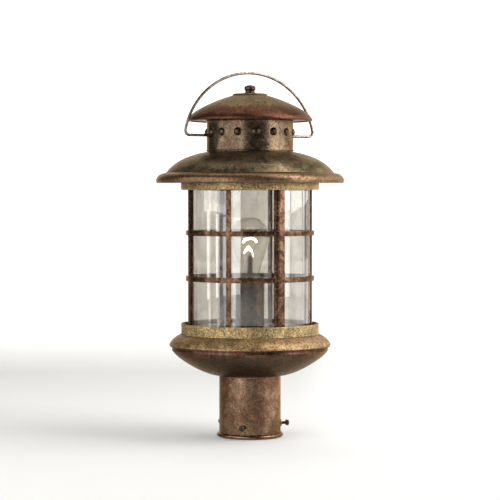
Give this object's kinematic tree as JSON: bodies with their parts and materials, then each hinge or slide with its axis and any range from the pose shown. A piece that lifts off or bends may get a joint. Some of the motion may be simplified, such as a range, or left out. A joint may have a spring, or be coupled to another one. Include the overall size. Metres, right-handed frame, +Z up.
{
  "type": "post lantern",
  "caption": "Post-top ship lantern: glass cylinder in a barred cage on a spun base, under a two-tier roof with a wire bail.",
  "frame": {"origin": "centre of the collar's open mouth, at the bottom of the lantern", "axes": "+Z up along the lantern's axis; the bail turns about a line along X"},
  "size_m": [0.2428, 0.2428, 0.4706],
  "materials": {
    "collar_copper": "brushed copper-brown patina, satin, with vertical dark bands",
    "bowl_copper": "mottled brown patina, satin, redder near the rim",
    "shoulder_bronze": "mottled tan patina with dark speckle",
    "band_verdigris": "yellow-olive verdigris patina with dark speckle",
    "bar_bronze": "red-brown to olive patina, satin",
    "roof_bronze": "olive-brown patina with dark speckle, browner at the brim",
    "chimney_bronze": "polished bronze with a thin patina",
    "cap_bronze": "olive-tan patina turning red-brown towards the lip",
    "dark_bronze": "dark bronze, glossy on high spots",
    "wire_bronze": "dark bronze wire, satin",
    "sleeve_bronze": "dark bronze sleeve, satin",
    "plate_metal": "satin plate",
    "zinc_steel": "zinc-plated steel",
    "bare_brass": "bare brass",
    "earth_green": "green-dyed screw",
    "porcelain": "glazed porcelain",
    "clear_glass": "clear glass",
    "lamp_glass": "clear thin glass",
    "lamp_base_metal": "bright screw base",
    "black_insulator": "black glass insulator with a solder contact",
    "filament_wire": "tungsten wire",
    "gasket_rubber": "matt black seal"
  },
  "bodies": {
    "base": {"post_collar": "collar_copper", "collar_screw_bosses": "collar_copper", "lower_bowl": "bowl_copper", "upper_shoulder": "shoulder_bronze", "stop_bar": "zinc_steel", "earth_screw": "earth_green", "stem_tube": "zinc_steel", "stem_nuts": "zinc_steel", "floor_pan": "plate_metal", "lower_gallery_band": "band_verdigris", "glass_seat_gasket": "gasket_rubber", "glass_cylinder": "clear_glass", "glass_top_gasket": "gasket_rubber", "post_right": "bar_bronze", "post_back": "bar_bronze", "post_left": "bar_bronze", "post_front": "bar_bronze", "muntin_1": "bar_bronze", "muntin_2": "bar_bronze", "muntin_3": "bar_bronze", "muntin_4": "bar_bronze", "hoop_lower": "bar_bronze", "hoop_upper": "bar_bronze", "upper_gallery_band": "band_verdigris", "top_crossbar": "zinc_steel", "crossbar_screws": "zinc_steel", "centre_rod": "zinc_steel", "rod_nuts": "zinc_steel", "socket_cup": "zinc_steel", "porcelain_socket": "porcelain", "socket_shell": "bare_brass", "socket_contact": "bare_brass", "socket_sleeve": "sleeve_bronze"},
    "roof_lid": {"roof": "roof_bronze", "roof_base_ring": "roof_bronze", "chimney": "chimney_bronze", "chimney_studs": "dark_bronze", "bail_bushes": "dark_bronze", "cap_base_plate": "roof_bronze", "cap": "cap_bronze", "cap_top_disc": "dark_bronze"},
    "bail_wire": {"bail": "wire_bronze", "bail_retainers": "zinc_steel"},
    "finial_seat": {"finial_washer": "dark_bronze"},
    "finial_knob": {"finial": "dark_bronze"},
    "lamp_tip": {"lamp_contact": "black_insulator"},
    "lamp": {"lamp_base": "lamp_base_metal", "lamp_glass": "lamp_glass", "lamp_stem": "lamp_glass", "lamp_filament": "filament_wire"},
    "set_screw_right": {"set_screw_right": "dark_bronze"},
    "set_screw_back": {"set_screw_back": "dark_bronze"},
    "set_screw_left": {"set_screw_left": "dark_bronze"}
  },
  "joints": [
    {"name": "roof_lift", "type": "slide", "parent": "base", "child": "roof_lid", "axis": [0, 0, 1], "range_m": [0, 0.14]},
    {"name": "bail_swing", "type": "hinge", "parent": "roof_lid", "child": "bail_wire", "pos_m": [0, 0, 0.3881], "axis": [1, 0, 0], "range_deg": [-60, 60]},
    {"name": "finial_lift", "type": "slide", "parent": "roof_lid", "child": "finial_seat", "axis": [0, 0, 1], "range_m": [0, 0.00471]},
    {"name": "finial_turn", "type": "hinge", "parent": "finial_seat", "child": "finial_knob", "pos_m": [0, 0, 0.4434], "axis": [0, 0, 1], "range_deg": [0, 1800]},
    {"name": "lamp_lift", "type": "slide", "parent": "base", "child": "lamp_tip", "axis": [0, 0, 1], "range_m": [0, 0.01997]},
    {"name": "lamp_turn", "type": "hinge", "parent": "lamp_tip", "child": "lamp", "pos_m": [0, 0, 0.19], "axis": [0, 0, 1], "range_deg": [0, 1980]},
    {"name": "set_screw_right_in", "type": "slide", "parent": "base", "child": "set_screw_right", "axis": [-0.9914, 0.1305, 0], "range_m": [0, 0.0065]},
    {"name": "set_screw_back_in", "type": "slide", "parent": "base", "child": "set_screw_back", "axis": [0.3827, -0.9239, 0], "range_m": [0, 0.0065]},
    {"name": "set_screw_left_in", "type": "slide", "parent": "base", "child": "set_screw_left", "axis": [0.6088, 0.7934, 0], "range_m": [0, 0.0065]}
  ],
  "couplings": [
    {"joint": "finial_lift", "follows": "finial_turn", "m_per_rad": 0.00014977},
    {"joint": "lamp_lift", "follows": "lamp_turn", "m_per_rad": 0.00057773}
  ]
}
